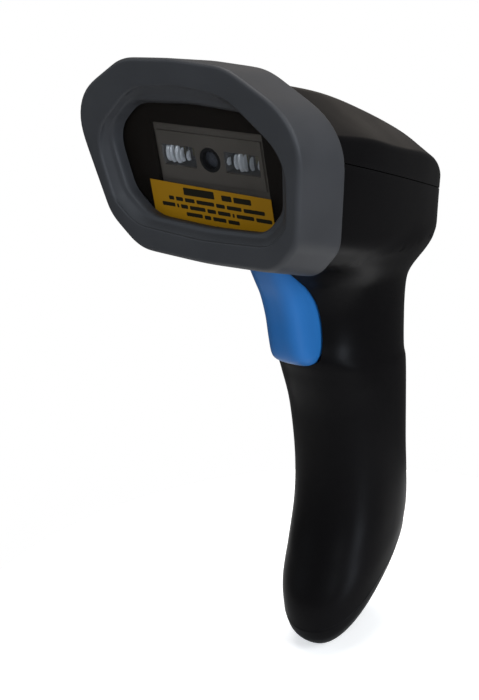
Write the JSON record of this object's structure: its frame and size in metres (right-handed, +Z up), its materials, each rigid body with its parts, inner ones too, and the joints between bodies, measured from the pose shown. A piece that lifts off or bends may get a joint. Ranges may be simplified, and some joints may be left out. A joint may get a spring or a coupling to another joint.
{
  "type": "handheld barcode scanner",
  "caption": "Cordless pistol-grip barcode scanner with a soft front bumper, a tinted scan window and a sprung hinged trigger.",
  "frame": {"origin": "under the middle of the bounding box, on its lowest level", "axes": "+Z up the grip, -Y the way the window looks, +X to the right of someone facing the window"},
  "size_m": [0.067, 0.0919, 0.1703],
  "materials": {
    "bezel_rubber": "matte, fine moulded grain",
    "window_tint": "smooth smoked plastic",
    "caution_yellow": "printed film",
    "frame_plastic": "dull",
    "housing_black": "satin, fine grain",
    "clear_plastic": "polished",
    "engine_plastic": "dull",
    "chip_black": "dull",
    "lens_glass": "coated",
    "emitter_yellow": "resin",
    "board_green": "solder mask",
    "ribbon_amber": "film",
    "plated_steel": "plated",
    "connector_ivory": "moulded",
    "trigger_blue": "satin",
    "plunger_red": "moulded",
    "battery_wrap": "shrink film",
    "foam_grey": "foam",
    "wire_red": "insulation",
    "wire_black": "insulation"
  },
  "bodies": {
    "housing": {"front_bezel": "bezel_rubber", "window_panel": "window_tint", "caution_strip": "caution_yellow", "front_frame": "frame_plastic", "main_housing": "housing_black", "top_cover": "housing_black", "bottom_cap": "housing_black", "status_light_pipe": "clear_plastic", "engine_chassis": "engine_plastic", "lens_barrel": "chip_black", "engine_lens": "lens_glass", "led_lens_left": "clear_plastic", "led_lens_right": "clear_plastic", "led_emitters": "emitter_yellow", "image_sensor": "chip_black", "engine_board": "board_green", "engine_ribbon": "ribbon_amber", "main_board": "board_green", "processor_chips": "chip_black", "radio_module": "plated_steel", "ribbon_socket": "connector_ivory", "buzzer": "chip_black", "trigger_pivot_pin": "plated_steel", "trigger_spring": "plated_steel", "trigger_switch_body": "chip_black", "trigger_board": "board_green", "battery_cell": "battery_wrap", "battery_pad": "foam_grey", "battery_leads": "wire_red", "battery_plug": "connector_ivory", "battery_socket": "connector_ivory", "usb_board": "board_green", "usb_port_shell": "plated_steel", "usb_port_tongue": "chip_black", "charge_leads": "wire_black", "cover_screws": "plated_steel", "frame_screws": "plated_steel", "engine_screws": "plated_steel", "board_screws": "plated_steel", "cap_screws": "plated_steel"},
    "trigger": {"trigger": "trigger_blue"},
    "plunger": {"switch_plunger": "plunger_red"}
  },
  "joints": [
    {"name": "trigger_pull", "type": "hinge", "parent": "housing", "child": "trigger", "pos_m": [0, -0.012, 0.119], "axis": [1, 0, 0], "range_deg": [0, 3.5], "stiffness_Nm_per_rad": 0.3, "springref_deg": -6.88, "deforming": ["trigger_spring"]},
    {"name": "plunger_slide", "type": "slide", "parent": "housing", "child": "plunger", "axis": [0, 1, 0], "range_m": [0, 0.0015]}
  ],
  "couplings": [
    {"joint": "plunger_slide", "follows": "trigger_pull", "m_per_rad": 0.024}
  ]
}
